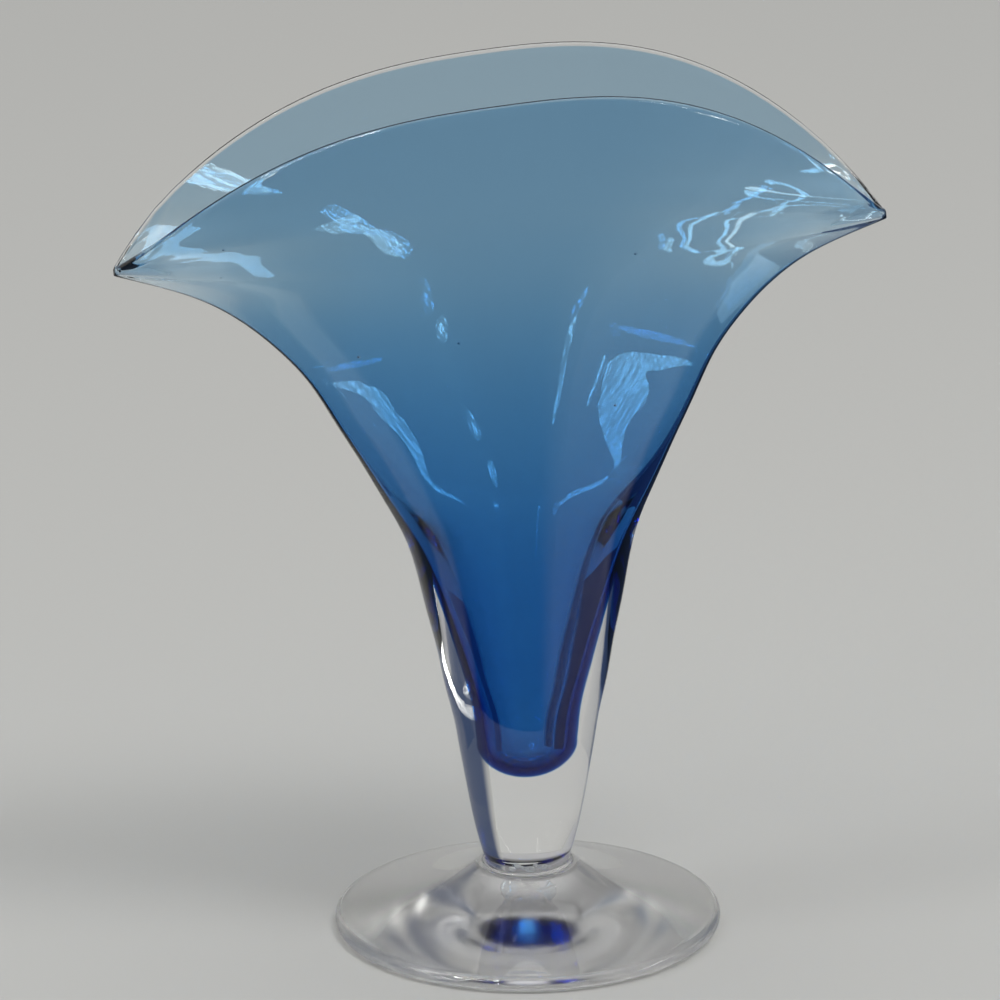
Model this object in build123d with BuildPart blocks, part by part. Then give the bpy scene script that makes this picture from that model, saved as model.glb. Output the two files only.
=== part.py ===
# Fan vase in cased blue glass, on a solid clear stem and a clear foot.
# Millimetres, +Z up. The origin is the centre of the foot's flat underside.
# X runs along the fan from tip to tip, and -Y is the front.

import os
from math import atan, cos, hypot, pi, radians, sin, sqrt

from build123d import *

os.makedirs("parts", exist_ok=True)

# The foot, a disc whose top sweeps up into a collar round the wafer
foot_diameter = 132
foot_edge_thickness = 5.4
collar_diameter = 34
seam_above_collar = 1

# Places along the foot's sweep, as shares of the way from edge to collar and of the climb
sweep_shares = [(0.28, 0.15), (0.62, 0.42), (0.86, 0.72)]

# The wafer of glass that joins the stem to the foot
wafer_diameter = 30
wafer_thickness = 11.5

# The blown body, measured up from the seam where its stem meets the wafer
seam_height = 23
stem_diameter = 28.6
neck_diameter = 49
neck_rise = 51
tip_rise = 221
crest_rise = 276.5
half_span = 129
rim_half_depth = 37
lean_angle = 2.5
bow = 4.3
crest_shift = 8.4
arch_power = 2.6
tip_thickness = 3
tip_nose = 0.6

# The walls, with the clear casing outside and the blue lining inside
casing_at_rim = 1.7
casing_at_neck = 13.3
lining_at_rim = 0.7
lining_at_neck = 2.1
tightest_fold = 0.7
lining_floor = 3
bubble_floor_rise = 34

overrun = 4

# The foot's collar stops just under the seam
collar_height = seam_height - seam_above_collar

# Each row is an oval of the body: its height, half width, half depth and pinch into a lens,
# then how much of the neck's extra casing it has, how much of that casing is left at its
# folds, and how much of the neck's extra lining it has.
# In the round stem, first solid and then round the bubble, all three sizes go from the
# seam's to the neck's.
solid_stem_shares = [
    (0.0, 0.0, 0.0, 0.0, 0.85, 1.0, 1.0),
    (0.235, 0.318, 0.318, 0.0, 0.85, 1.0, 1.0),
    (0.530, 0.607, 0.607, 0.0, 0.87, 1.0, 1.0),
    (0.735, 0.785, 0.785, 0.0, 0.92, 1.0, 1.0),
]
hollow_stem_shares = [
    (0.860, 0.890, 0.890, 0.0, 0.95, 1.0, 1.0),
    (1.0, 1.0, 1.0, 0.0, 0.975, 1.0, 1.0),
]

# In the fan they go from the neck's to the fold's end under the tips
fan_shares = [
    (0.083, 0.030, 0.083, 0.10, 1.0, 1.0, 1.02),
    (0.168, 0.055, 0.190, 0.25, 0.93, 1.0, 1.00),
    (0.251, 0.085, 0.290, 0.40, 0.845, 1.0, 0.95),
    (0.335, 0.112, 0.370, 0.52, 0.69, 0.96, 0.86),
    (0.413, 0.148, 0.430, 0.62, 0.49, 0.86, 0.75),
    (0.491, 0.206, 0.500, 0.70, 0.30, 0.74, 0.63),
    (0.581, 0.277, 0.560, 0.75, 0.155, 0.65, 0.52),
    (0.665, 0.347, 0.610, 0.78, 0.086, 0.60, 0.41),
    (0.755, 0.424, 0.660, 0.80, 0.043, 0.58, 0.29),
    (0.836, 0.529, 0.710, 0.82, 0.030, 0.54, 0.18),
    (0.904, 0.652, 0.750, 0.84, 0.025, 0.50, 0.09),
    (0.950, 0.780, 0.780, 0.86, 0.035, 0.46, 0.04),
    (1.0, 1.0, 0.820, 0.88, 0.050, 0.44, 0.0),
]

# Above the fold's end the two walls go on at full span until the rim's arch cuts them off.
# Each row is a height and half depth on the way to the crest's, and a pinch that turns blunt.
wall_shares = [
    (0.05, 0.06, 0.35),
    (0.15, 0.20, -0.80),
    (0.30, 0.39, -1.60),
    (0.54, 0.67, -2.00),
    (1.0, 1.05, -2.20),
]
arch_shares = (-1, -0.85, -0.6, -0.3, 0, 0.3, 0.6, 0.85, 1)

# The body stands in a frame that leans to the left about the middle of the seam
lean = radians(lean_angle)
seam = Plane((0, 0, seam_height), x_dir=(cos(lean), 0, sin(lean)), z_dir=(-sin(lean), 0, cos(lean)))


def between(start, end, share):
    return start + share * (end - start)


def rim_height(share):
    """Height of the rim's arch at a share of the half span, its crest pushed to the right."""
    arch = (crest_rise - tip_rise) * (1 - abs(share) ** arch_power)
    return tip_rise + arch + crest_shift * share * (1 - share**2)


def sway(rise):
    """How far the bow carries the body to the right at a height, the same from the tips up."""
    return bow * sin(pi * min(rise, tip_rise) / crest_rise)


def fold_slope(half_width, half_depth, pinch):
    """How steeply an oval's chord from fold to side stands, which sets where its arcs meet."""
    return (1 + pinch * half_depth / half_width) * half_depth / (half_width + half_depth)


def fold_radius(half_width, half_depth, pinch):
    """Radius of the small arcs at the two folds of an oval."""
    slope = fold_slope(half_width, half_depth, pinch)
    return (half_depth - slope * half_width) / (1 - slope)


def pinch_for(half_width, half_depth, radius):
    """The pinch that gives an oval folds of a radius."""
    slope = (half_depth - radius) / (half_width - radius)
    return (slope * (half_width + half_depth) / half_depth - 1) * half_width / half_depth


def cased(sizes, fold_wall, side_wall):
    """The oval inside another, by one wall at its folds and another at its sides."""
    width, depth, pinch = sizes
    inner_width = width - fold_wall
    inner_depth = depth - side_wall
    if not pinch:
        return inner_width, inner_depth, 0
    radius = fold_radius(*sizes) - fold_wall
    return inner_width, inner_depth, pinch_for(inner_width, inner_depth, radius)


def lined(sizes, wall):
    """The oval inside another, one wall in all along its sides and rounder at its folds."""
    width, depth, pinch = sizes
    if not pinch:
        return width - wall, depth - wall, 0
    radius = fold_radius(*sizes)
    side_radius = ((width - radius) ** 2 + depth**2 - radius**2) / (2 * (depth - radius))
    centre = depth - side_radius
    spare = radius - wall
    inner_radius = (spare + hypot(spare, 2 * tightest_fold)) / 2
    inner_width = inner_radius + sqrt((side_radius - wall - inner_radius) ** 2 - centre**2)
    return inner_width, depth - wall, pinch_for(inner_width, depth - wall, inner_radius)


def fold_ovals():
    """Height, half width, half depth and pinch of the ovals from the seam to the fold's end,
    for the outside, then for the bubble and the hollow, each moved in square to the wall."""
    stem_radius = stem_diameter / 2
    neck_radius = neck_diameter / 2
    fold_end = tip_rise - tip_thickness
    stages = [
        (solid_stem_shares, 0, neck_rise, stem_radius, neck_radius, neck_radius),
        (hollow_stem_shares, 0, neck_rise, stem_radius, neck_radius, neck_radius),
        (fan_shares, neck_rise, fold_end, neck_radius, half_span, rim_half_depth),
    ]
    rows = []
    for shares, low, high, narrow, wide, deep in stages:
        for rise, width, depth, pinch, casing, kept, lining in shares:
            sizes = (between(narrow, wide, width), between(narrow, deep, depth), pinch)
            casing_wall = between(casing_at_rim, casing_at_neck, casing)
            lining_wall = between(lining_at_rim, lining_at_neck, lining)
            rows.append((between(low, high, rise), sizes, casing_wall, casing_wall * kept, lining_wall))
    outside = []
    bubble = []
    hollow = []
    for number, (rise, sizes, casing_wall, fold_casing, lining_wall) in enumerate(rows):
        below = rows[max(number - 1, 0)]
        above = rows[min(number + 1, len(rows) - 1)]
        climb = above[0] - below[0]
        spread = above[1][0] - below[1][0]
        fold_climb = climb / hypot(climb, spread)
        side_climb = climb / hypot(climb, above[1][1] - below[1][1])
        outside.append((rise, *sizes))
        fold_wall = fold_casing * fold_climb
        sizes_in = cased(sizes, fold_wall, casing_wall * side_climb)
        rise += fold_wall * spread / climb
        bubble.append((rise, *sizes_in))
        hollow.append((rise, *lined(sizes_in, lining_wall * side_climb)))
    return outside, bubble, hollow


def wall_ovals(fold_end_oval, wall):
    """The ovals from the fold's end to past the crest, inside the outer ones by a wall."""
    low, span, depth = fold_end_oval[:3]
    ovals = [fold_end_oval]
    for rise, deeper, pinch in wall_shares:
        half_depth = between(depth, rim_half_depth - wall, deeper)
        radius = fold_radius(half_span, half_depth + wall, pinch) - wall
        inner_pinch = pinch_for(span, half_depth, radius)
        ovals.append((between(low, crest_rise + overrun, rise), span, half_depth, inner_pinch))
    return ovals


def body_frame(rise):
    """The leaning, bowed frame at a height."""
    return Plane(seam * Pos(sway(rise), 0, rise))


def oval(frame, half_width, half_depth, pinch):
    """A face of four tangent arcs, from a circle at no pinch to a lens with tight folds."""
    radius = fold_radius(half_width, half_depth, pinch)
    turn = pi / 2 - 2 * atan(fold_slope(half_width, half_depth, pinch))
    x = half_width - radius + radius * cos(turn)
    y = radius * sin(turn)
    # Loose edges, because a sketch would melt the arcs of a round oval into one circle
    right = ThreePointArc((x, -y), (half_width, 0), (x, y))
    back = ThreePointArc((x, y), (0, half_depth), (-x, y))
    left = ThreePointArc((-x, y), (-half_width, 0), (-x, -y))
    front = ThreePointArc((-x, -y), (0, -half_depth), (x, -y))
    return frame * Face(Wire([right, back, left, front]))


def blown(fold, walls, floor_rise=None):
    """The lofts through both runs of ovals, closed below by a ball if they have a floor,
    and cut by the rim's arch."""
    runs = [[oval(body_frame(rise), *sizes) for rise, *sizes in ovals] for ovals in (fold, walls)]
    with BuildPart() as shape:
        for sections in runs:
            loft(sections)
        if floor_rise is not None:
            rise, radius = fold[0][:2]
            drop = rise - floor_rise
            ball_radius = (radius**2 + drop**2) / (2 * drop)
            with Locations(body_frame(rise) * Pos(0, 0, ball_radius - drop)):
                Sphere(ball_radius)
        add(below_rim.part, mode=Mode.INTERSECT)
    return shape.part


# Everything under the rim: its arch seen from the front, carried through the body, with a
# short level nose at each tip
with BuildPart() as below_rim:
    with BuildSketch(Plane(origin=seam.origin, x_dir=seam.x_dir, z_dir=-seam.y_dir)):
        with BuildLine():
            middle = sway(tip_rise)
            arch_half_span = half_span - tip_nose
            Spline(*[(middle + arch_half_span * share, rim_height(share)) for share in arch_shares])
            Polyline(
                (middle + arch_half_span, tip_rise),
                (middle + half_span + overrun, tip_rise),
                (middle + half_span + overrun, -overrun),
                (middle - half_span - overrun, -overrun),
                (middle - half_span - overrun, tip_rise),
                (middle - arch_half_span, tip_rise),
            )
        make_face()
    extrude(amount=rim_half_depth + overrun, both=True)

# The body's three surfaces: the outside, the blue bubble in it and the hollow in that
outside_fold, bubble_fold, hollow_fold = fold_ovals()
solid_rows = len(solid_stem_shares)
envelope = blown(outside_fold, wall_ovals(outside_fold[-1], 0))
bubble = blown(
    bubble_fold[solid_rows:],
    wall_ovals(bubble_fold[-1], casing_at_rim),
    bubble_floor_rise,
)
hollow = blown(
    hollow_fold[solid_rows:],
    wall_ovals(hollow_fold[-1], casing_at_rim + lining_at_rim),
    bubble_floor_rise + lining_floor,
)

with BuildPart() as clear_casing:
    add(envelope)
    add(bubble, mode=Mode.SUBTRACT)

with BuildPart() as blue_lining:
    add(bubble)
    add(hollow, mode=Mode.SUBTRACT)

# The wafer, upright in the foot and tilted at its top to meet the leaning stem
with BuildPart() as stem_wafer:
    with BuildSketch(Plane.XY.offset(seam_height - wafer_thickness)):
        Circle(wafer_diameter / 2)
    extrude(amount=wafer_thickness + overrun)
    split(bisect_by=seam, keep=Keep.BOTTOM)

with BuildPart() as foot:
    with BuildSketch(Plane.XZ):
        with BuildLine():
            edge_radius = foot_edge_thickness / 2
            edge_middle = foot_diameter / 2 - edge_radius
            collar_radius = collar_diameter / 2
            sweep = [
                (
                    between(edge_middle, collar_radius, inwards),
                    between(foot_edge_thickness, collar_height, upwards),
                )
                for inwards, upwards in sweep_shares
            ]
            Line((0, 0), (edge_middle, 0))
            ThreePointArc(
                (edge_middle, 0),
                (edge_middle + edge_radius, edge_radius),
                (edge_middle, foot_edge_thickness),
            )
            Spline((edge_middle, foot_edge_thickness), *sweep, (collar_radius, collar_height))
            Polyline((collar_radius, collar_height), (0, collar_height), (0, 0))
        make_face()
    revolve(axis=Axis.Z)
    with BuildSketch(Plane.XY.offset(seam_height - wafer_thickness)):
        Circle(wafer_diameter / 2)
    extrude(amount=wafer_thickness, mode=Mode.SUBTRACT)

foot.part.label = "foot"
export_step(foot.part, "parts/foot.step")

stem_wafer.part.label = "stem_wafer"
export_step(stem_wafer.part, "parts/stem_wafer.step")

clear_casing.part.label = "clear_casing"
export_step(clear_casing.part, "parts/clear_casing.step")

blue_lining.part.label = "blue_lining"
export_step(blue_lining.part, "parts/blue_lining.step")
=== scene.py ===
# Fan vase in cased blue glass, on a solid clear stem and a clear foot.
# Metres, +Z up, and the front is -Y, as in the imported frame.
from math import atan, atan2, cos, hypot, pi, radians, sin, sqrt

import bmesh
import bpy
import numpy as np
from mathutils import Matrix, Vector


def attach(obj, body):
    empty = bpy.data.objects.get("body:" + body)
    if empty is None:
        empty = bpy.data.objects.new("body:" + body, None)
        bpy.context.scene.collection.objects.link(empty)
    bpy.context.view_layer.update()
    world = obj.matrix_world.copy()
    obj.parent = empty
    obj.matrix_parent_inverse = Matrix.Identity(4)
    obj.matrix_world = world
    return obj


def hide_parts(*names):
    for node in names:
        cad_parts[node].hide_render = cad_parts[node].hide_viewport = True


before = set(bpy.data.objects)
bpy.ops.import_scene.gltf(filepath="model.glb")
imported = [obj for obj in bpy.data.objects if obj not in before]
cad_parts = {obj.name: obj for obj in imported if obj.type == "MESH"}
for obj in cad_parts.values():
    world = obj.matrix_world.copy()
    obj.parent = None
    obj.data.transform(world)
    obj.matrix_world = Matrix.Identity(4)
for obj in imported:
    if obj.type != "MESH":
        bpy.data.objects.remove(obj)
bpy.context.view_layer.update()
mm = 0.001
scene = bpy.context.scene


# The camera stands where the photograph's stood
photoView = {
    "distance": 2.400,
    "elevation": 18.5,
    "turn": -4.63,  # degrees about Z, seen from above
    "roll": -0.57,
    "aim": (-0.00815, 0.0, 0.15205),
    "lens": 257.04,
    "sensor": 36.0,
}


def placeCamera(view):
    tilt = radians(view["elevation"])
    forward = Vector((0, cos(tilt), -sin(tilt)))
    right = Vector((1, 0, 0))
    up = right.cross(forward)
    roll = radians(view["roll"])
    right, up = right * cos(roll) + up * sin(roll), up * cos(roll) - right * sin(roll)
    turn = Matrix.Rotation(radians(view["turn"]), 4, "Z")
    spot = Vector(view["aim"]) - forward * view["distance"]
    axes = Matrix((right, up, -forward)).transposed().to_4x4()
    lensData = bpy.data.cameras.new("photoCamera")
    lensData.lens = view["lens"]
    lensData.sensor_width = view["sensor"]
    lensData.clip_start = 0.05
    lensData.clip_end = 100
    camera = bpy.data.objects.new("photoCamera", lensData)
    camera.matrix_world = turn @ (Matrix.Translation(spot) @ axes)
    scene.collection.objects.link(camera)
    scene.camera = camera


placeCamera(photoView)
print("camera placed")


# The blown body, in millimetres, measured up from the seam over the wafer
body = {
    "seamHeight": 23,
    "stemRadius": 14.3,
    "neckRadius": 24.5,
    "neckRise": 51,
    "tipRise": 221,
    "crestRise": 276.5,
    "halfSpan": 129,
    "rimHalfDepth": 37,
    "lean": radians(2.5),
    "bow": 4.3,
    "crestShift": 8.4,
    "archPower": 2.6,
    "tipThickness": 3,
    "casingWall": (1.7, 13.3),  # at the rim and at the neck
    "liningWall": (0.7, 2.1),
    "tipNose": 0.6,
    "tightestFold": 0.7,
    "bubbleFloor": 34,
    "liningFloor": 3,
    "overrun": 4,  # the wall's ovals go on this far above the crest
}

# Height, half width, half depth, pinch, extra casing, casing left at the folds
# and extra lining, all as shares
stemRows = [
    (0.0, 0.0, 0.0, 0.0, 0.85, 1.0, 1.0),
    (0.235, 0.318, 0.318, 0.0, 0.85, 1.0, 1.0),
    (0.530, 0.607, 0.607, 0.0, 0.87, 1.0, 1.0),
    (0.735, 0.785, 0.785, 0.0, 0.92, 1.0, 1.0),
    (0.860, 0.890, 0.890, 0.0, 0.95, 1.0, 1.0),
    (1.0, 1.0, 1.0, 0.0, 0.975, 1.0, 1.0),
]
fanRows = [
    (0.083, 0.030, 0.083, 0.10, 1.0, 1.0, 1.02),
    (0.168, 0.055, 0.190, 0.25, 0.93, 1.0, 1.00),
    (0.251, 0.085, 0.290, 0.40, 0.845, 1.0, 0.95),
    (0.335, 0.112, 0.370, 0.52, 0.69, 0.96, 0.86),
    (0.413, 0.148, 0.430, 0.62, 0.49, 0.86, 0.75),
    (0.491, 0.206, 0.500, 0.70, 0.30, 0.74, 0.63),
    (0.581, 0.277, 0.560, 0.75, 0.155, 0.65, 0.52),
    (0.665, 0.347, 0.610, 0.78, 0.086, 0.60, 0.41),
    (0.755, 0.424, 0.660, 0.80, 0.043, 0.58, 0.29),
    (0.836, 0.529, 0.710, 0.82, 0.030, 0.54, 0.18),
    (0.904, 0.652, 0.750, 0.84, 0.025, 0.50, 0.09),
    (0.950, 0.780, 0.780, 0.86, 0.035, 0.46, 0.04),
    (1.0, 1.0, 0.820, 0.88, 0.050, 0.44, 0.0),
]

# Above the folds: height, extra depth and pinch
wallRows = [
    (0.05, 0.06, 0.35),
    (0.15, 0.20, -0.80),
    (0.30, 0.39, -1.60),
    (0.54, 0.67, -2.00),
    (1.0, 1.05, -2.20),
]
firstBubbleRow = 4  # the bubble starts at this one of all the rows

foldSteps, sideSteps = 9, 24  # round a quarter of an oval
ringCount = 4 * (foldSteps + sideSteps)


def between(start, end, share):
    return start + share * (end - start)


class SmoothRows:
    # A natural cubic through rows of sizes, by their heights
    def __init__(self, rows):
        rows = np.array(rows, float)
        self.x, self.y = rows[:, 0], rows[:, 1:]
        n = len(self.x)
        h = np.diff(self.x)
        a = np.zeros((n, n))
        r = np.zeros((n, self.y.shape[1]))
        a[0, 0] = a[-1, -1] = 1
        for i in range(1, n - 1):
            a[i, i - 1 : i + 2] = h[i - 1], 2 * (h[i - 1] + h[i]), h[i]
            r[i] = 6 * ((self.y[i + 1] - self.y[i]) / h[i] - (self.y[i] - self.y[i - 1]) / h[i - 1])
        self.m = np.linalg.solve(a, r)

    def at(self, x):
        i = int(np.clip(np.searchsorted(self.x, x) - 1, 0, len(self.x) - 2))
        h = self.x[i + 1] - self.x[i]
        a, b = (self.x[i + 1] - x) / h, (x - self.x[i]) / h
        bend = (a**3 - a) * self.m[i] + (b**3 - b) * self.m[i + 1]
        return a * self.y[i] + b * self.y[i + 1] + bend * h * h / 6


# An oval is four arcs, a tight one round each fold and a wide one along each side. With no
# pinch it is nearly an ellipse, and more pinch makes the folds tighter.
def foldSlope(width, depth, pinch):
    return (1 + pinch * depth / width) * depth / (width + depth)


def foldRadius(width, depth, pinch):
    slope = foldSlope(width, depth, pinch)
    return (depth - slope * width) / (1 - slope)


def pinchFor(width, depth, radius):
    slope = (depth - radius) / (width - radius)
    return (slope * (width + depth) / depth - 1) * width / depth


def cased(sizes, foldWall, sideWall):
    width, depth = sizes[0] - foldWall, sizes[1] - sideWall
    if not sizes[2]:
        return width, depth, 0
    return width, depth, pinchFor(width, depth, foldRadius(*sizes) - foldWall)


def lined(sizes, wall):
    # One wall in all along the sides, and rounder at the folds
    width, depth, pinch = sizes
    if not pinch:
        return width - wall, depth - wall, 0
    radius = foldRadius(*sizes)
    sideRadius = ((width - radius) ** 2 + depth**2 - radius**2) / (2 * (depth - radius))
    centre = depth - sideRadius
    spare = radius - wall
    inner = (spare + hypot(spare, 2 * body["tightestFold"])) / 2
    innerWidth = inner + sqrt((sideRadius - wall - inner) ** 2 - centre**2)
    return innerWidth, depth - wall, pinchFor(innerWidth, depth - wall, inner)


def foldOvals():
    # Height, half width, half depth and pinch, for the outside, the bubble and the hollow
    b = body
    foldEnd = b["tipRise"] - b["tipThickness"]
    stages = [
        (stemRows, 0, b["neckRise"], b["stemRadius"], b["neckRadius"], b["neckRadius"]),
        (fanRows, b["neckRise"], foldEnd, b["neckRadius"], b["halfSpan"], b["rimHalfDepth"]),
    ]
    rows = []
    for shares, low, high, narrow, wide, deep in stages:
        for rise, width, depth, pinch, casing, kept, lining in shares:
            sizes = (between(narrow, wide, width), between(narrow, deep, depth), pinch)
            casingWall = between(*b["casingWall"], casing)
            liningWall = between(*b["liningWall"], lining)
            rows.append((between(low, high, rise), sizes, casingWall, kept, liningWall))
    surfaces = [[], [], []]
    for number, (rise, sizes, casingWall, kept, liningWall) in enumerate(rows):
        below = rows[max(number - 1, 0)]
        above = rows[min(number + 1, len(rows) - 1)]
        climb, spread = above[0] - below[0], above[1][0] - below[1][0]
        foldClimb = climb / hypot(climb, spread)
        sideClimb = climb / hypot(climb, above[1][1] - below[1][1])
        surfaces[0].append((rise, *sizes))
        foldWall = casingWall * kept * foldClimb
        inner = cased(sizes, foldWall, casingWall * sideClimb)
        rise += foldWall * spread / climb
        surfaces[1].append((rise, *inner))
        surfaces[2].append((rise, *lined(inner, liningWall * sideClimb)))
    return surfaces


def wallOvals(foldEnd, wall):
    low, span, depth = foldEnd[:3]
    high = body["crestRise"] + body["overrun"]
    ovals = [foldEnd]
    for rise, deeper, pinch in wallRows:
        halfDepth = between(depth, body["rimHalfDepth"] - wall, deeper)
        radius = foldRadius(body["halfSpan"], halfDepth + wall, pinch) - wall
        ovals.append((between(low, high, rise), span, halfDepth, pinchFor(span, halfDepth, radius)))
    return ovals


def bowAt(rise):
    return body["bow"] * sin(pi * min(rise, body["tipRise"]) / body["crestRise"])


def rimHeight(x):
    share = (x - bowAt(body["tipRise"])) / (body["halfSpan"] - body["tipNose"])
    if abs(share) >= 1:
        return body["tipRise"]
    arch = (body["crestRise"] - body["tipRise"]) * (1 - abs(share) ** body["archPower"])
    return body["tipRise"] + arch + body["crestShift"] * share * (1 - share**2)


def standing(x, y, rise):
    # From the body's own bowed and leaning axis to the frame, in metres
    x = x + bowAt(rise)
    c, s = cos(body["lean"]), sin(body["lean"])
    return Vector((x * c - rise * s, y, body["seamHeight"] + x * s + rise * c)) * mm


def ovalPoint(step, halfWidth, halfDepth, pinch):
    # Steps run round the oval from the right fold, over the back, to the left fold and the front
    quarter = foldSteps + sideSteps
    turnCount, along = divmod(step, 2 * quarter)
    mirror = along > quarter
    k = 2 * quarter - along if mirror else along
    radius = foldRadius(halfWidth, halfDepth, pinch)
    turn = pi / 2 - 2 * atan(foldSlope(halfWidth, halfDepth, pinch))
    if k <= foldSteps:
        angle = turn * k / foldSteps
        x, y = halfWidth - radius + radius * cos(angle), radius * sin(angle)
    else:
        x1, y1 = halfWidth - radius + radius * cos(turn), radius * sin(turn)
        sideRadius = x1 / cos(turn)
        angle = turn + (pi / 2 - turn) * (k - foldSteps) / sideSteps
        x, y = sideRadius * cos(angle), y1 - sideRadius * sin(turn) + sideRadius * sin(angle)
    if mirror:
        x = -x
    return (x, y) if turnCount % 2 == 0 else (-x, -y)


# How the wall ends at the rim, and how closely it is drawn
lip = {
    "drop": 1.2,
    "lift": 1.15,
    "steps": 10,
    "foldRings": 84,
    "crowding": 1.5,  # of the rings towards the tips
    "highestKnee": 0.99,  # the folds' rings end by this share of the way up
    "wallRings": 20,
    "floorRings": 14,
}
foldSoftening = {"below": 5, "above": 6, "passes": 5}

# The blue layer stands a hair inside the wall, so that only the wall itself bends the light
blueLayer = {
    "gap": 0.02,
    "belowLip": 0.15,
    "tipInset": 1.2,  # it stops short of the tips
    "tipFrom": 195,
    "tipOver": 24,
    "foldRings": 72,
    "floorRings": 12,
}


class Shell:
    # One of the body's surfaces: the outside, the bubble's or the hollow's
    def __init__(self, number, inset=0.0, tipInset=0.0):
        wall = sum((body["casingWall"][0], body["liningWall"][0])[:number])
        fold = foldOvals()[number][firstBubbleRow if number else 0 :]
        self.low, self.foldEnd = fold[0][0], fold[-1][0]
        self.fold = SmoothRows(fold)
        self.walls = SmoothRows(wallOvals(fold[-1], wall))
        self.inset, self.tipInset = inset, tipInset

    def sizes(self, rise):
        w, d, q = (self.fold if rise <= self.foldEnd else self.walls).at(rise)
        nearTip = min(max((rise - blueLayer["tipFrom"]) / blueLayer["tipOver"], 0), 1)
        return w + self.inset - self.tipInset * nearTip**2, d + self.inset, q

    def point(self, k, rise):
        return standing(*ovalPoint(k, *self.sizes(rise)), rise)

    def rimAt(self, k, drop):
        # Where the side meets the rim's arch, by halving
        low, high = self.low, body["crestRise"] + body["overrun"]
        for _ in range(24):
            rise = (low + high) / 2
            x = ovalPoint(k, *self.sizes(rise))[0]
            if rise < rimHeight(x + bowAt(rise)) - drop:
                low = rise
            else:
                high = rise
        return low

    def rings(self, foldRings, wallRings, drop):
        # From the lowest oval to the rim, closer together towards the tips
        shares = [1 - (1 - j / foldRings) ** lip["crowding"] for j in range(foldRings)]
        columns = []
        for k in range(ringCount):
            top = self.rimAt(k, drop)
            knee = min(self.foldEnd, between(self.low, top, lip["highestKnee"]))
            rises = [between(self.low, knee, share) for share in shares]
            rises += [between(knee, top, j / wallRings) for j in range(wallRings + 1)]
            columns.append([self.point(k, rise) for rise in rises])
        return [list(ring) for ring in zip(*columns)]


def skin(bm, rings):
    # Joins rings of the same count with quads, a ring of one point being a pole
    made = []
    for ring in rings:
        made.append([bm.verts.new(p) for p in ring])
    for low, high in zip(made, made[1:]):
        n = max(len(low), len(high))
        for k in range(n):
            j = (k + 1) % n
            corners = []
            for ring, i in ((low, k), (low, j), (high, j), (high, k)):
                v = ring[i % len(ring)]
                if v not in corners:
                    corners.append(v)
            bm.faces.new(corners)
    return made


def objectFrom(bm, name):
    mesh = bpy.data.meshes.new(name)
    bm.to_mesh(mesh)
    bm.free()
    made = bpy.data.objects.new(name, mesh)
    scene.collection.objects.link(made)
    return made


def finished(bm, name, slot, *nodes):
    bm.normal_update()
    if bm.calc_volume(signed=True) < 0:
        bmesh.ops.reverse_faces(bm, faces=bm.faces)
    piece = objectFrom(bm, name)
    for polygon in piece.data.polygons:
        polygon.use_smooth = True
    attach(piece, "root")
    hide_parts(*nodes)
    return piece


def spaced(low, high, count):
    return [between(low, high, k / (count - 1)) for k in range(count)]


def lipRings(outer, inner, highest, count):
    # Rounds the wall's end over from the outer ring to the inner ring
    rings = []
    for step in range(1, count):
        angle = pi * step / count
        ring = []
        for a, b in zip(outer, inner):
            lift = min((b - a).length / 2, highest * mm) * sin(angle)
            ring.append(a.lerp(b, (1 - cos(angle)) / 2) + Vector((0, 0, lift)))
        rings.append(ring)
    return rings


def soften(rings, first, last, passes):
    # Rounds off the corners that run along some of the rings
    for _ in range(passes):
        before = list(rings)
        for i in range(first, last):
            threes = zip(before[i - 1], before[i], before[i + 1])
            rings[i] = [(a + b * 2 + c) / 4 for a, b, c in threes]


def floorRings(shell, floorRise, count):
    # The ball that closes a bubble below its first ring
    radius = shell.sizes(shell.low)[0]
    drop = shell.low - floorRise
    ball = (radius**2 + drop**2) / (2 * drop)
    widest = atan2(radius, ball - drop)
    rings = [[standing(0, 0, floorRise)]]
    for step in range(1, count):
        angle = widest * step / count
        r, rise = ball * sin(angle), floorRise + ball * (1 - cos(angle))
        ring = []
        for k in range(ringCount):
            x, y = ovalPoint(k, r, r, 0.0)
            ring.append(standing(x, y, rise))
        rings.append(ring)
    return rings


outside, bubble, hollow = Shell(0), Shell(1), Shell(2)


def makeCasing():
    bm = bmesh.new()
    outer = outside.rings(lip["foldRings"], lip["wallRings"], lip["drop"])
    inner = floorRings(hollow, body["bubbleFloor"] + body["liningFloor"], lip["floorRings"])
    inner += hollow.rings(lip["foldRings"], lip["wallRings"], lip["drop"])
    rings = outer + lipRings(outer[-1], inner[-1], lip["lift"], lip["steps"]) + inner[::-1]
    first = lip["foldRings"] - foldSoftening["below"]
    last = lip["foldRings"] + foldSoftening["above"]
    soften(rings, first, last, foldSoftening["passes"])
    made = skin(bm, rings)
    seamFace = bm.faces.new(made[0][::-1])
    seamFace.material_index = 1
    return finished(bm, "clearCasing", "clear_casing_glass", "clear_casing")


casing = makeCasing()
print("clear casing made,", len(casing.data.polygons), "faces")


def makeLining():
    b, drop = blueLayer, lip["drop"] + blueLayer["belowLip"]
    outer, inner = Shell(1, 0, b["tipInset"]), Shell(2, b["gap"])
    bm = bmesh.new()
    outerRings = floorRings(outer, body["bubbleFloor"], b["floorRings"])
    outerRings += outer.rings(b["foldRings"], lip["wallRings"], drop)
    innerFloor = body["bubbleFloor"] + body["liningFloor"] - b["gap"]
    innerRings = floorRings(inner, innerFloor, b["floorRings"])
    innerRings += inner.rings(b["foldRings"], lip["wallRings"], drop)
    skin(bm, outerRings + innerRings[::-1])
    return finished(bm, "blueLining", "blue_lining_glass", "blue_lining")


lining = makeLining()
print("blue lining made,", len(lining.data.polygons), "faces")


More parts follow.
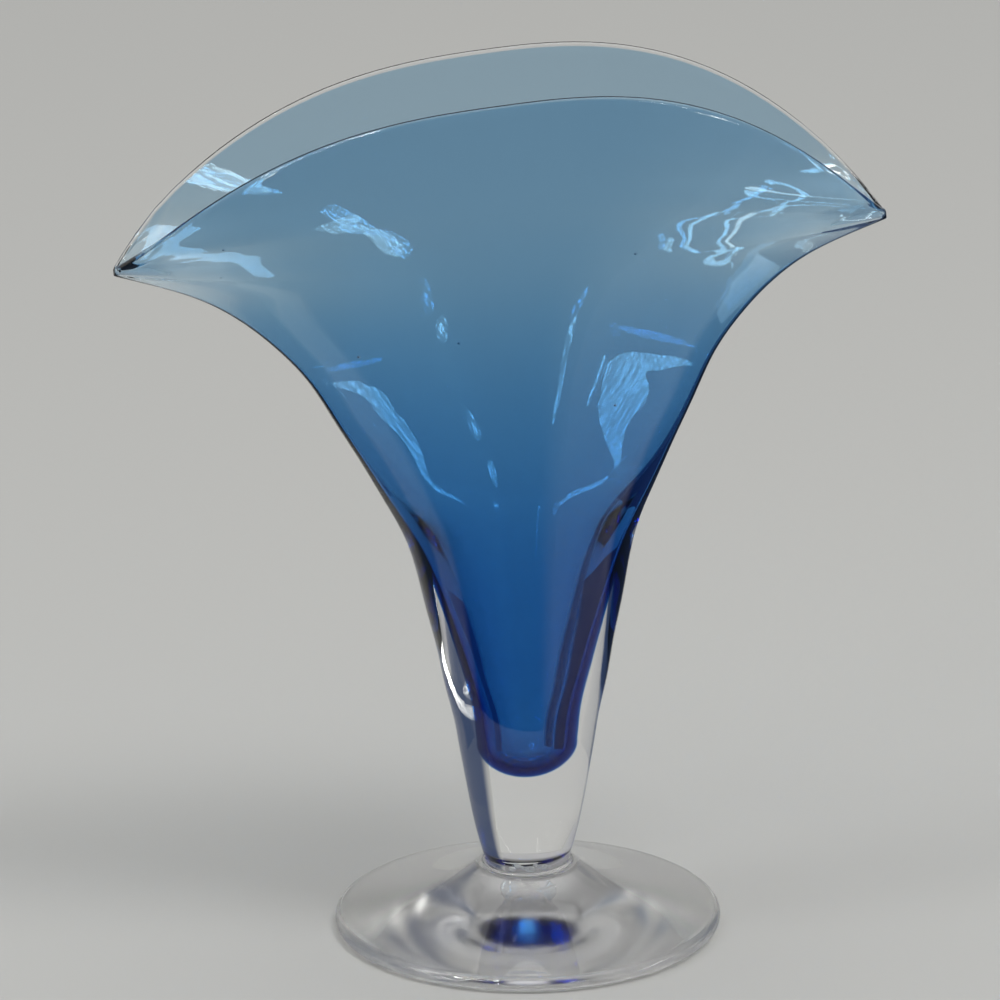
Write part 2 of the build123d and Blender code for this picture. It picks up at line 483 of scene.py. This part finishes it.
def maths(tree, kind, *values):
    node = tree.nodes.new("ShaderNodeMath")
    node.operation = kind
    for socket, value in zip(node.inputs, values):
        if isinstance(value, (int, float)):
            socket.default_value = value
        else:
            tree.links.new(value, socket)
    return node.outputs[0]


def eased(tree, value, start, stop):
    # Rises smoothly from 0 to 1 as the value goes from start to stop
    node = tree.nodes.new("ShaderNodeMapRange")
    node.interpolation_type = "SMOOTHSTEP"
    node.inputs["From Min"].default_value = start
    node.inputs["From Max"].default_value = stop
    tree.links.new(value, node.inputs["Value"])
    return node.outputs["Result"]


def spinTree():
    # Spins the profile's points, in the order they were drawn, round Z
    tree = bpy.data.node_groups.new("spinProfile", "GeometryNodeTree")
    face = tree.interface
    face.new_socket("Profile", in_out="INPUT", socket_type="NodeSocketGeometry")
    rows = face.new_socket("Rows", in_out="INPUT", socket_type="NodeSocketInt")
    around = face.new_socket("Around", in_out="INPUT", socket_type="NodeSocketInt")
    glass = face.new_socket("Glass", in_out="INPUT", socket_type="NodeSocketMaterial")
    face.new_socket("Spun", in_out="OUTPUT", socket_type="NodeSocketGeometry")
    add, link = tree.nodes.new, tree.links.new
    source, result = add("NodeGroupInput"), add("NodeGroupOutput")
    grid = add("GeometryNodeMeshGrid")
    columns = maths(tree, "ADD", source.outputs["Around"], 1)
    link(columns, grid.inputs["Vertices X"])
    link(source.outputs["Rows"], grid.inputs["Vertices Y"])
    index = add("GeometryNodeInputIndex").outputs[0]
    row = maths(tree, "MODULO", index, source.outputs["Rows"])
    column = maths(tree, "FLOOR", maths(tree, "DIVIDE", index, source.outputs["Rows"]))
    sample = add("GeometryNodeSampleIndex")
    sample.data_type = "FLOAT_VECTOR"
    link(source.outputs["Profile"], sample.inputs["Geometry"])
    link(add("GeometryNodeInputPosition").outputs[0], sample.inputs["Value"])
    link(row, sample.inputs["Index"])
    angle = maths(tree, "MULTIPLY", maths(tree, "DIVIDE", column, source.outputs["Around"]), 2 * pi)
    turn = add("ShaderNodeVectorRotate")
    turn.rotation_type = "Z_AXIS"
    link(sample.outputs[0], turn.inputs["Vector"])
    link(angle, turn.inputs["Angle"])
    place = add("GeometryNodeSetPosition")
    link(grid.outputs["Mesh"], place.inputs["Geometry"])
    link(turn.outputs["Vector"], place.inputs["Position"])
    merge = add("GeometryNodeMergeByDistance")
    merge.inputs["Distance"].default_value = 0.001 * mm
    link(place.outputs["Geometry"], merge.inputs["Geometry"])
    real = add("GeometryNodeRealizeInstances")
    link(merge.outputs["Geometry"], real.inputs["Geometry"])
    paint = add("GeometryNodeSetMaterial")
    link(real.outputs["Geometry"], paint.inputs["Geometry"])
    link(source.outputs["Glass"], paint.inputs["Material"])
    link(paint.outputs["Geometry"], result.inputs["Spun"])
    return tree, {"rows": rows.identifier, "around": around.identifier, "glass": glass.identifier}


def asMesh(maker, tree, values):
    # Runs a tree on an object and hands back the plain mesh
    modifier = maker.modifiers.new(tree.name, "NODES")
    modifier.node_group = tree
    for socket, value in values.items():
        modifier[socket] = value
    bpy.context.view_layer.update()
    solved = maker.evaluated_get(bpy.context.evaluated_depsgraph_get())
    mesh = bpy.data.meshes.new_from_object(solved)
    bpy.data.objects.remove(maker)
    return mesh


spin, spinSockets = spinTree()


def spun(name, profile, around, slot, node, glasses, isFused):
    line = bpy.data.meshes.new(name + "Profile")
    line.from_pydata([(r * mm, 0, z * mm) for r, z in profile], [], [])
    maker = bpy.data.objects.new(name + "Profile", line)
    scene.collection.objects.link(maker)
    values = {
        spinSockets["rows"]: len(profile),
        spinSockets["around"]: around,
        spinSockets["glass"]: glasses[0],
    }
    mesh = asMesh(maker, spin, values)
    bm = bmesh.new()
    bm.from_mesh(mesh)
    bmesh.ops.recalc_face_normals(bm, faces=bm.faces)
    for f in bm.faces:
        f.material_index = 1 if isFused(f.calc_center_median() / mm) else 0
    piece = finished(bm, name, slot, node)
    for glass in glasses:
        piece.data.materials.append(glass)
    return piece


def arc(cx, cz, radius, start, stop, count):
    angles = [radians(angle) for angle in spaced(start, stop, count)]
    return [(cx + radius * cos(a), cz + radius * sin(a)) for a in angles]


# Glass that bends light, glass fused to glass, and the blue layer
def material(name):
    made = bpy.data.materials.new(name)
    made.use_nodes = True
    return made, made.node_tree, made.node_tree.nodes["Principled BSDF"]


def makeGlass(name, ior, roughness=0.0, colour=(1, 1, 1), transmission=1.0):
    made, _, shader = material(name)
    shader.inputs["Base Color"].default_value = (*colour, 1)
    shader.inputs["Roughness"].default_value = roughness
    shader.inputs["IOR"].default_value = ior
    shader.inputs["Transmission Weight"].default_value = transmission
    return made


def addWaves(glass, size, height, detail=1.5):
    # The slow unevenness of glass that was blown and tooled, in millimetres
    tree = glass.node_tree
    place = tree.nodes.new("ShaderNodeTexCoord")
    waves = tree.nodes.new("ShaderNodeTexNoise")
    waves.inputs["Scale"].default_value = 1 / (size * mm)
    waves.inputs["Detail"].default_value = detail
    bump = tree.nodes.new("ShaderNodeBump")
    bump.inputs["Strength"].default_value = 1.0
    bump.inputs["Distance"].default_value = height * mm
    tree.links.new(place.outputs["Object"], waves.inputs["Vector"])
    tree.links.new(waves.outputs["Fac"], bump.inputs["Height"])
    tree.links.new(bump.outputs["Normal"], tree.nodes["Principled BSDF"].inputs["Normal"])


def addColour(glass, density, colour):
    # The deeper the glass, the bluer it looks
    tree = glass.node_tree
    inside = tree.nodes.new("ShaderNodeVolumeAbsorption")
    inside.inputs["Color"].default_value = (*colour, 1)
    inside.inputs["Density"].default_value = density
    tree.links.new(inside.outputs["Volume"], tree.nodes["Material Output"].inputs["Volume"])


clearGlass = makeGlass("clearGlass", 1.5)
addWaves(clearGlass, size=18, height=0.06)
footGlass = makeGlass("footGlass", 1.5)
addWaves(footGlass, size=14, height=0.02)
groundGlass = makeGlass("groundGlass", 1.5, roughness=0.15)
fusedGlass = makeGlass("fusedGlass", 1.0)
airGlass = makeGlass("airGlass", 1.25, 0.08, colour=(0.95, 0.97, 0.98), transmission=0.6)
blueGlass = makeGlass("blueGlass", 1.0)
addColour(blueGlass, density=1000, colour=(0.08, 0.56, 0.84))
casing.data.materials.append(clearGlass)
casing.data.materials.append(fusedGlass)
lining.data.materials.append(blueGlass)

# The wafer between stem and foot, upright below and tilted at its top
wafer = {
    "radius": 15.0,
    "bottom": 11.5,
    "collarTop": 22.0,
    "bulge": 0.15,
    "tiltAbove": 0.6,  # over the collar's top
    "fusedInset": 0.3,
    "around": 96,
}


def makeWafer():
    w, r = wafer, wafer["radius"]
    stem, seam = body["stemRadius"], body["seamHeight"]
    profile = [(0, w["bottom"]), (stem, w["bottom"]), (r, w["bottom"]), (r, w["collarTop"])]
    profile += [(r + w["bulge"], between(w["collarTop"], seam, 0.5)), (r, seam)]
    profile += [(stem, seam), (0, seam)]

    def isFused(p):
        return p.z < w["collarTop"] or hypot(p.x, p.y) < stem - w["fusedInset"]

    slot, glasses = "clear_wafer_glass", (clearGlass, fusedGlass)
    piece = spun("stemWafer", profile, w["around"], slot, "stem_wafer", glasses, isFused)
    for v in piece.data.vertices:
        if v.co.z > (w["collarTop"] + w["tiltAbove"]) * mm:
            v.co.z += v.co.x * sin(body["lean"])


makeWafer()
print("wafer made")

# The foot, a disc whose top sweeps up to a collar round the wafer
foot = {
    "radius": 66,
    "edge": 5.4,
    "collarRadius": 17,
    "collarTop": 22,
    "sweep": [(0.28, 0.15), (0.62, 0.42), (0.86, 0.72)],  # inwards and upwards, as shares
    "undersideRings": (0, 20, 45),
    "lastRingInset": 2,
    "edgePoints": 15,
    "sweepPoints": 34,
    "around": 144,
    "seatAbove": 1,
    "seatMargin": 0.01,
    "undersideBelow": 0.02,
}


def makeFoot():
    f = foot
    half = f["edge"] / 2
    edgeMiddle = f["radius"] - half
    rows = [(edgeMiddle, f["edge"])]
    for inwards, upwards in f["sweep"]:
        r = between(edgeMiddle, f["collarRadius"], inwards)
        rows.append((r, between(f["edge"], f["collarTop"], upwards)))
    rows.append((f["collarRadius"], f["collarTop"]))
    way = [0.0]
    for a, b in zip(rows, rows[1:]):
        way.append(way[-1] + hypot(b[0] - a[0], b[1] - a[1]))
    sweep = SmoothRows([(w, *row) for w, row in zip(way, rows)])
    profile = [(r, 0) for r in (*f["undersideRings"], edgeMiddle - f["lastRingInset"])]
    profile += arc(edgeMiddle, half, half, -90, 90, f["edgePoints"])
    profile += [tuple(sweep.at(w)) for w in spaced(0, way[-1], f["sweepPoints"])[1:]]
    seat, floor = wafer["radius"], wafer["bottom"]
    profile += [(seat, f["collarTop"]), (seat, floor), (0, floor)]

    def isFused(p):
        return hypot(p.x, p.y) < seat + f["seatMargin"] and p.z > f["seatAbove"]

    glasses = (footGlass, fusedGlass, groundGlass)
    piece = spun("clearFoot", profile, f["around"], "clear_foot_glass", "foot", glasses, isFused)
    for polygon in piece.data.polygons:
        if polygon.center.z < f["undersideBelow"] * mm:
            polygon.material_index = 2


makeFoot()
print("foot made")

# Small air bubbles caught at the seam, and a few seeds in the wall
airBubbles = {
    "seamCount": 9,
    "seamRadius": 12.6,
    "seamSweep": (-118, -62),
    "seamRise": 1.6,
    "seamSize": (0.5, 1.0),
    "seamStretch": 1.7,
    "stagger": (0.7, 0.35),  # inwards and upwards
    # The seeds' steps round the wall, and their heights
    "seeds": [(50, 218), (52, 214), (55, 216), (38, 176), (84, 190), (110, 168), (22, 205)],
    "seedSize": (0.42, 0.42),
    "seedStretch": 1.3,
    "roundness": 2,
    "shuffle": 7,
}


def bubbleTree():
    # Sets a small stretched ball on each point, in sizes between the two given
    tree = bpy.data.node_groups.new("airBubbles", "GeometryNodeTree")
    face = tree.interface
    face.new_socket("Points", in_out="INPUT", socket_type="NodeSocketGeometry")
    names = {}
    for label in ("Least", "Most", "Stretch", "Glass"):
        kind = "NodeSocketMaterial" if label == "Glass" else "NodeSocketFloat"
        names[label.lower()] = face.new_socket(label, in_out="INPUT", socket_type=kind).identifier
    face.new_socket("Bubbles", in_out="OUTPUT", socket_type="NodeSocketGeometry")
    add, link = tree.nodes.new, tree.links.new
    source, result = add("NodeGroupInput"), add("NodeGroupOutput")
    ball, sizes = add("GeometryNodeMeshIcoSphere"), add("FunctionNodeRandomValue")
    ball.inputs["Radius"].default_value = 1.0
    ball.inputs["Subdivisions"].default_value = airBubbles["roundness"]
    sizes.inputs["Seed"].default_value = airBubbles["shuffle"]
    link(source.outputs["Least"], sizes.inputs[2])
    link(source.outputs["Most"], sizes.inputs[3])
    size = sizes.outputs[1]
    shape = add("ShaderNodeCombineXYZ")
    link(maths(tree, "MULTIPLY", size, source.outputs["Stretch"]), shape.inputs["X"])
    link(size, shape.inputs["Y"])
    link(size, shape.inputs["Z"])
    spread, real = add("GeometryNodeInstanceOnPoints"), add("GeometryNodeRealizeInstances")
    link(source.outputs["Points"], spread.inputs["Points"])
    link(ball.outputs["Mesh"], spread.inputs["Instance"])
    link(shape.outputs["Vector"], spread.inputs["Scale"])
    link(spread.outputs["Instances"], real.inputs["Geometry"])
    smooth, paint = add("GeometryNodeSetShadeSmooth"), add("GeometryNodeSetMaterial")
    link(real.outputs["Geometry"], smooth.inputs["Geometry"])
    link(smooth.outputs["Geometry"], paint.inputs["Geometry"])
    link(source.outputs["Glass"], paint.inputs["Material"])
    link(paint.outputs["Geometry"], result.inputs["Bubbles"])
    return tree, names


caught, caughtSockets = bubbleTree()


def makeBubbles(name, points, sizes, stretch):
    cloud = bpy.data.meshes.new(name + "Points")
    cloud.from_pydata(points, [], [])
    maker = bpy.data.objects.new(name + "Points", cloud)
    scene.collection.objects.link(maker)
    values = {"least": sizes[0] * mm, "most": sizes[1] * mm, "stretch": stretch, "glass": airGlass}
    mesh = asMesh(maker, caught, {caughtSockets[key]: value for key, value in values.items()})
    piece = bpy.data.objects.new(name, mesh)
    scene.collection.objects.link(piece)
    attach(piece, "root")


def seamPoints():
    # Round the front of the seam, a little in or out and up or down by turns
    a, points = airBubbles, []
    inwards, upwards = a["stagger"]
    for k in range(a["seamCount"]):
        angle = radians(between(*a["seamSweep"], k / (a["seamCount"] - 1)))
        r = a["seamRadius"] - (k * 5 % 3) * inwards
        rise = a["seamRise"] + (k * 7 % 4) * upwards
        points.append(standing(r * cos(angle), r * sin(angle), rise))
    return points


def seedPoints():
    # In the middle of the clear wall
    pairs = [(outside.point(*seed), bubble.point(*seed)) for seed in airBubbles["seeds"]]
    return [outer.lerp(inner, 0.5) for outer, inner in pairs]


makeBubbles("seamBubbles", seamPoints(), airBubbles["seamSize"], airBubbles["seamStretch"])
makeBubbles("wallSeeds", seedPoints(), airBubbles["seedSize"], airBubbles["seedStretch"])
print("bubbles made")

# A plain pale floor, which melts into the backdrop far off so that no horizon shows
stage = {
    "floorColour": (0.56, 0.56, 0.54),
    "floorRoughness": 0.9,
    "floorShine": 0.1,
    "floorRadius": 40.0,
    "backdrop": (0.47, 0.47, 0.455),
    "fade": (1.5, 4.5),
    "gapUnderFoot": 0.0002,
}


def makeFloor():
    bm = bmesh.new()
    bmesh.ops.create_circle(bm, cap_ends=True, segments=96, radius=stage["floorRadius"])
    floor = objectFrom(bm, "floor")
    floor.location.z = -stage["gapUnderFoot"]
    made, tree, shader = material("floorPaper")
    shader.inputs["Base Color"].default_value = (*stage["floorColour"], 1)
    shader.inputs["Roughness"].default_value = stage["floorRoughness"]
    shader.inputs["Specular IOR Level"].default_value = stage["floorShine"]
    add, link = tree.nodes.new, tree.links.new
    place, reach = add("ShaderNodeTexCoord"), add("ShaderNodeVectorMath")
    reach.operation = "LENGTH"
    glow, blend = add("ShaderNodeEmission"), add("ShaderNodeMixShader")
    glow.inputs["Color"].default_value = (*stage["backdrop"], 1)
    link(place.outputs["Object"], reach.inputs[0])
    link(eased(tree, reach.outputs["Value"], *stage["fade"]), blend.inputs["Fac"])
    link(shader.outputs["BSDF"], blend.inputs[1])
    link(glow.outputs["Emission"], blend.inputs[2])
    link(blend.outputs["Shader"], tree.nodes["Material Output"].inputs["Surface"])
    floor.data.materials.append(made)


makeFloor()
print("floor laid")

# A plain studio, height by light: pale at the horizon, dim walls and a bright ceiling.
# The camera itself sees the plain backdrop.
sky = [(0.0, 0.44), (0.18, 0.44), (0.32, 0.22), (0.55, 0.20), (0.75, 0.55), (0.88, 1.2), (1.0, 1.5)]


def makeSky():
    world = bpy.data.worlds.new("studio")
    world.use_nodes = True
    scene.world = world
    tree = world.node_tree
    add, link = tree.nodes.new, tree.links.new
    place, split = add("ShaderNodeTexCoord"), add("ShaderNodeSeparateXYZ")
    ramp, ray, mix = add("ShaderNodeValToRGB"), add("ShaderNodeLightPath"), add("ShaderNodeMix")
    mix.data_type = "RGBA"
    stops = ramp.color_ramp.elements
    for k, (height, level) in enumerate(sky):
        stop = stops[k] if k < 2 else stops.new(height)
        stop.position = height
        stop.color = (level, level, level, 1)
    link(place.outputs["Generated"], split.inputs["Vector"])
    link(split.outputs["Z"], ramp.inputs["Fac"])
    link(ray.outputs["Is Camera Ray"], mix.inputs["Factor"])
    link(ramp.outputs["Color"], mix.inputs["A"])
    mix.inputs["B"].default_value = (*stage["backdrop"], 1)
    link(mix.outputs["Result"], tree.nodes["Background"].inputs["Color"])


makeSky()


def outOfView(piece, made):
    # Only the glass sees it
    piece.data.materials.append(made)
    piece.visible_camera = piece.visible_diffuse = piece.visible_shadow = False


def glowOnly(name, colour, strength):
    made, tree, shader = material(name)
    shader.inputs["Base Color"].default_value = (0.0, 0.0, 0.0, 1)
    shader.inputs["Specular IOR Level"].default_value = 0.0
    shader.inputs["Emission Color"].default_value = (*colour, 1)
    shader.inputs["Emission Strength"].default_value = strength
    return made, tree, shader


# Dark cards round the vase, each a sector of floor with an upright wall behind it. They are painted
# shade that only the glass shows, in its reflections and in the light it bends.
# The sector and the width over which its two ends fade are in degrees.
cards = {
    "rightCard": {
        "sector": (2, 62),
        "fade": (8, 8),
        "reach": (0.13, 2.0),
        "paintedShade": (0.035, 0.055, 0.115),
    },
    "leftCard": {
        "sector": (146, 178),
        "fade": (10, 5),
        "reach": (0.13, 2.0),
        "paintedShade": (0.10, 0.14, 0.21),
    },
    "frontCard": {
        "sector": (-162, -62),
        "fade": (6, 16),
        "reach": (0.16, 2.0),
        "paintedShade": (0.035, 0.055, 0.115),
    },
}
cardShape = {"wall": 0.9, "steps": 24, "lift": 0.001, "paleEnd": (0.42, 0.42, 0.40)}


def paintedShadeCard(name, sector, fade, reach, paintedShade):
    bm = bmesh.new()
    edges = []
    for k in range(cardShape["steps"] + 1):
        a = radians(between(*sector, k / cardShape["steps"]))
        way = Vector((cos(a), sin(a), 0))
        near, far = way * reach[0], way * reach[1]
        top = far + Vector((0, 0, cardShape["wall"]))
        edges.append([bm.verts.new(p) for p in (near, far, top)])
    for a, b in zip(edges, edges[1:]):
        for k in (0, 1):
            bm.faces.new((a[k], b[k], b[k + 1], a[k + 1]))
    card = objectFrom(bm, name)
    card.location.z = cardShape["lift"]
    # A dark glow: painted shade, seen only in the glass
    made, tree, shader = glowOnly(name, paintedShade, 1.0)
    add, link = tree.nodes.new, tree.links.new
    place, split = add("ShaderNodeTexCoord"), add("ShaderNodeSeparateXYZ")
    link(place.outputs["Object"], split.inputs["Vector"])
    angle = maths(tree, "ARCTAN2", split.outputs["Y"], split.outputs["X"])
    fromStart = eased(tree, angle, radians(sector[0]), radians(sector[0] + fade[0]))
    fromStop = eased(tree, angle, radians(sector[1]), radians(sector[1] - fade[1]))
    mix = add("ShaderNodeMix")
    mix.data_type = "RGBA"
    mix.inputs["A"].default_value = (*cardShape["paleEnd"], 1)
    mix.inputs["B"].default_value = (*paintedShade, 1)
    link(maths(tree, "MULTIPLY", fromStart, fromStop), mix.inputs["Factor"])
    link(mix.outputs["Result"], shader.inputs["Emission Color"])
    outOfView(card, made)


for name, card in cards.items():
    paintedShadeCard(name, **card)
print("cards set up")

# Small lamps round the room, which show as highlights in the glass: azimuth, elevation,
# distance, half width, half height, hole as a share, and strength
lamps = {
    "ringLamp": (-130, 38, 1.5, 0.34, 0.30, 0.82, 44),
    "ceilingLamp": (165, 64, 1.5, 0.07, 0.07, 0.0, 14),
    "overheadLamp": (-90, 80, 1.5, 0.45, 0.22, 0.0, 1.5),
    "farLamp": (-122, 20, 1.5, 0.05, 0.05, 0.0, 22),
    "windowLamp": (-69, 5, 1.5, 0.09, 0.11, 0.0, 18),
    "leftShelf": (-131, -6, 0.9, 0.05, 0.03, 0.0, 10),
    "frontShelf": (-112, -9, 0.9, 0.02, 0.05, 0.0, 12),
    "rightShelf": (-64, -5, 0.9, 0.05, 0.02, 0.0, 12),
}

# Long rows of lights: azimuth and elevation at both ends, half height in degrees and strength
lightRows = {
    "rightRow": (4, 19, -32, 0, 1.4, 24),
    "leftRow": (-131, -5, -172, 11, 1.4, 30),
}
rowShape = {"steps": 16, "distance": 1.3, "taper": (0.12, 0.88)}
lampShape = {"around": 32, "colour": (1.0, 1.0, 0.94)}
dots = {"scale": 42, "randomness": 0.35, "edge": (0.50, 0.30), "levels": (0.25, 1.8)}
vaseMiddle = Vector((0, 0, 0.2))


def towards(azimuth, elevation):
    a, e = radians(azimuth), radians(elevation)
    return Vector((cos(a) * cos(e), sin(a) * cos(e), sin(e)))


def lightUp(name, bm, strength, isDotted):
    lamp = objectFrom(bm, name)
    made, tree, shader = glowOnly(name, lampShape["colour"], strength)
    if isDotted:
        # Many small lights side by side
        add, link = tree.nodes.new, tree.links.new
        place, cells = add("ShaderNodeTexCoord"), add("ShaderNodeTexVoronoi")
        lit = add("ShaderNodeMapRange")
        cells.inputs["Scale"].default_value = dots["scale"]
        cells.inputs["Randomness"].default_value = dots["randomness"]
        lit.inputs["From Min"].default_value, lit.inputs["From Max"].default_value = dots["edge"]
        lit.inputs["To Min"].default_value = strength * dots["levels"][0]
        lit.inputs["To Max"].default_value = strength * dots["levels"][1]
        link(place.outputs["Object"], cells.inputs["Vector"])
        link(cells.outputs["Distance"], lit.inputs["Value"])
        link(lit.outputs["Result"], shader.inputs["Emission Strength"])
    outOfView(lamp, made)


def makeLamp(name, azimuth, elevation, distance, halfWidth, halfHeight, hole, strength):
    # A glowing oval facing the vase, with a hole in it where it is a ring
    way = towards(azimuth, elevation)
    side = Vector((-sin(radians(azimuth)), cos(radians(azimuth)), 0))
    up = way.cross(side)
    rims = []
    for share in (1.0, hole):
        rim = []
        for k in range(lampShape["around"]):
            turn = 2 * pi * k / lampShape["around"]
            across = side * halfWidth * cos(turn) + up * halfHeight * sin(turn)
            rim.append(vaseMiddle + way * distance + across * share)
        rims.append(rim if share else [vaseMiddle + way * distance])
    bm = bmesh.new()
    skin(bm, rims)
    lightUp(name, bm, strength, not hole)


def makeRow(name, startAzimuth, startElevation, stopAzimuth, stopElevation, half, strength):
    bm = bmesh.new()
    edges = []
    for k in range(rowShape["steps"] + 1):
        share = k / rowShape["steps"]
        azimuth = between(startAzimuth, stopAzimuth, share)
        elevation = between(startElevation, stopElevation, share)
        lift = half * sin(pi * between(*rowShape["taper"], share))
        ways = (towards(azimuth, elevation - lift), towards(azimuth, elevation + lift))
        edges.append([bm.verts.new(vaseMiddle + way * rowShape["distance"]) for way in ways])
    for a, b in zip(edges, edges[1:]):
        bm.faces.new((a[0], b[0], b[1], a[1]))
    lightUp(name, bm, strength, True)


for name, sizes in lightRows.items():
    makeRow(name, *sizes)
for name, sizes in lamps.items():
    makeLamp(name, *sizes)
print("small lamps hung")

# Two softboxes light the floor and the vase
softboxes = {
    "keyBox": {"spot": (0.8, -0.6, 2.0), "aim": (0.1, 0.1, 0.15), "size": (0.6, 0.6), "power": 11},
    "leftBox": {"spot": (-1.6, -0.4, 1.5), "aim": (0, 0, 0.15), "size": (0.5, 0.9), "power": 5},
}


def softbox(name, spot, aim, size, power):
    lamp = bpy.data.lights.new(name, "AREA")
    lamp.shape = "RECTANGLE"
    lamp.size, lamp.size_y = size
    lamp.energy = power
    piece = bpy.data.objects.new(name, lamp)
    piece.location = spot
    piece.rotation_euler = (Vector(aim) - Vector(spot)).to_track_quat("-Z", "Y").to_euler()
    scene.collection.objects.link(piece)
    return piece


boxes = {name: softbox(name, **settings) for name, settings in softboxes.items()}
boxes["keyBox"].visible_glossy = False  # its broad patch would drown the small lamps
print("softboxes lit")

scene.cycles.max_bounces = 32
scene.cycles.transmission_bounces = 32
scene.cycles.glossy_bounces = 12
scene.cycles.transparent_max_bounces = 16
scene.view_settings.view_transform = "Standard"
